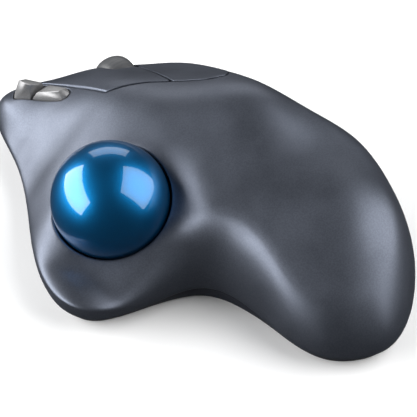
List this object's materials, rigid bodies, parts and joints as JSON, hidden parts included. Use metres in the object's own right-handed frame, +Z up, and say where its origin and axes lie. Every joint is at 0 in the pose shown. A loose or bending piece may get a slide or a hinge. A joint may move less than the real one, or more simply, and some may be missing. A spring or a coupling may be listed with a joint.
{
  "type": "thumb trackball mouse",
  "caption": "Wireless thumb-operated trackball mouse with a sculpted palm rest, ball in a scooped side pocket, buttons, side keys and scroll wheel.",
  "frame": {"origin": "centre of the bounding box's footprint, on the desk plane under the feet", "axes": "+Y towards the front (buttons and wheel), +Z up, +X to the user's right; the ball is on the -X side"},
  "size_m": [0.095, 0.1449, 0.0425],
  "materials": {
    "shell_slate": "satin slate grey with a fine grain",
    "key_grey": "smooth silver-grey",
    "base_dark": "matte near-black",
    "ball_blue": "polished, deep metallic blue",
    "lens_clear": "clear moulded lens",
    "board_green": "solder-mask green",
    "switch_dark": "moulded dark housing",
    "plunger_white": "light grey moulding",
    "hub_grey": "mid grey moulding",
    "wheel_rubber": "satin rubber",
    "cell_wrap": "plain printed sleeve without marks",
    "spring_steel": "bright steel",
    "bearing_ceramic": "polished ceramic",
    "foot_slick": "smooth low-friction pad"
  },
  "bodies": {
    "housing": {"top_shell": "shell_slate", "bottom_case": "base_dark", "ball_cup": "base_dark", "ball_bearing_1": "bearing_ceramic", "ball_bearing_2": "bearing_ceramic", "ball_bearing_3": "bearing_ceramic", "sensor_lens": "lens_clear", "sensor_board": "board_green", "main_board": "board_green", "left_switch": "switch_dark", "right_switch": "switch_dark", "middle_switch": "switch_dark", "back_key_switch": "switch_dark", "forward_key_switch": "switch_dark", "battery_cell": "cell_wrap", "battery_spring": "spring_steel", "battery_contact": "spring_steel", "power_switch": "switch_dark", "foot_1": "foot_slick", "foot_2": "foot_slick", "foot_3": "foot_slick", "foot_4": "foot_slick", "foot_5": "foot_slick", "case_screw_1": "spring_steel", "case_screw_2": "spring_steel", "case_screw_3": "spring_steel", "case_screw_4": "spring_steel"},
    "left_button": {"left_button": "shell_slate"},
    "right_button": {"right_button": "shell_slate"},
    "back_key": {"back_key": "key_grey"},
    "forward_key": {"forward_key": "key_grey"},
    "trackball": {"trackball": "ball_blue"},
    "wheel_carrier": {"wheel_carrier": "base_dark", "wheel_encoder": "switch_dark"},
    "wheel": {"wheel_hub": "hub_grey", "wheel_tyre": "wheel_rubber"},
    "left_plunger": {"left_switch_plunger": "plunger_white"},
    "right_plunger": {"right_switch_plunger": "plunger_white"},
    "middle_plunger": {"middle_switch_plunger": "plunger_white"},
    "battery_door": {"battery_door": "base_dark"},
    "door_latch": {"door_latch": "plunger_white"},
    "power_slider": {"power_slider": "plunger_white"}
  },
  "joints": [
    {"name": "left_button_press", "type": "hinge", "parent": "housing", "child": "left_button", "pos_m": [0.01, 0.0333, 0.021], "axis": [-0.7516, 0.6596, 0], "range_deg": [0, 1.8], "stiffness_Nm_per_rad": 0.6, "springref_deg": -2.29},
    {"name": "right_button_press", "type": "hinge", "parent": "housing", "child": "right_button", "pos_m": [0.0245, 0.0195, 0.024], "axis": [-0.7071, 0.7071, 0], "range_deg": [0, 1.8], "stiffness_Nm_per_rad": 0.6, "springref_deg": -2.29},
    {"name": "back_key_press", "type": "slide", "parent": "housing", "child": "back_key", "axis": [0, 0, -1], "range_m": [0, 0.0006], "stiffness_N_per_m": 400, "springref_m": -0.001},
    {"name": "forward_key_press", "type": "slide", "parent": "housing", "child": "forward_key", "axis": [0, 0, -1], "range_m": [0, 0.0006], "stiffness_N_per_m": 400, "springref_m": -0.001},
    {"name": "ball_roll", "type": "hinge", "parent": "housing", "child": "trackball", "pos_m": [-0.0192, 0.0095, 0.024], "axis": [1, 0, 0], "continuous": true},
    {"name": "wheel_press", "type": "hinge", "parent": "housing", "child": "wheel_carrier", "pos_m": [0.02136, 0.03815, 0.0113], "axis": [-0.9888, 0.1495, 0], "range_deg": [0, 2.5], "stiffness_Nm_per_rad": 0.3, "springref_deg": -3.44},
    {"name": "wheel_spin", "type": "hinge", "parent": "wheel_carrier", "child": "wheel", "pos_m": [0.0233, 0.051, 0.0123], "axis": [0.9888, -0.1495, 0], "continuous": true},
    {"name": "left_plunger_travel", "type": "slide", "parent": "housing", "child": "left_plunger", "axis": [0, 0, -1], "range_m": [0, 0.0008]},
    {"name": "right_plunger_travel", "type": "slide", "parent": "housing", "child": "right_plunger", "axis": [0, 0, -1], "range_m": [0, 0.0008]},
    {"name": "middle_plunger_travel", "type": "slide", "parent": "housing", "child": "middle_plunger", "axis": [0, 0, -1], "range_m": [0, 0.0008]},
    {"name": "battery_door_swing", "type": "hinge", "parent": "housing", "child": "battery_door", "pos_m": [0.02, -0.0562, 0.001], "axis": [-1, 0, 0], "range_deg": [0, 80]},
    {"name": "door_latch_slide", "type": "slide", "parent": "battery_door", "child": "door_latch", "axis": [0, -1, 0], "range_m": [0, 0.001]},
    {"name": "power_switch_slide", "type": "slide", "parent": "housing", "child": "power_slider", "axis": [0, 1, 0], "range_m": [0, 0.0038]}
  ],
  "couplings": [
    {"joint": "left_plunger_travel", "follows": "left_button_press", "m_per_rad": 0.0122},
    {"joint": "right_plunger_travel", "follows": "right_button_press", "m_per_rad": 0.0189},
    {"joint": "middle_plunger_travel", "follows": "wheel_press", "m_per_rad": 0.0084}
  ]
}
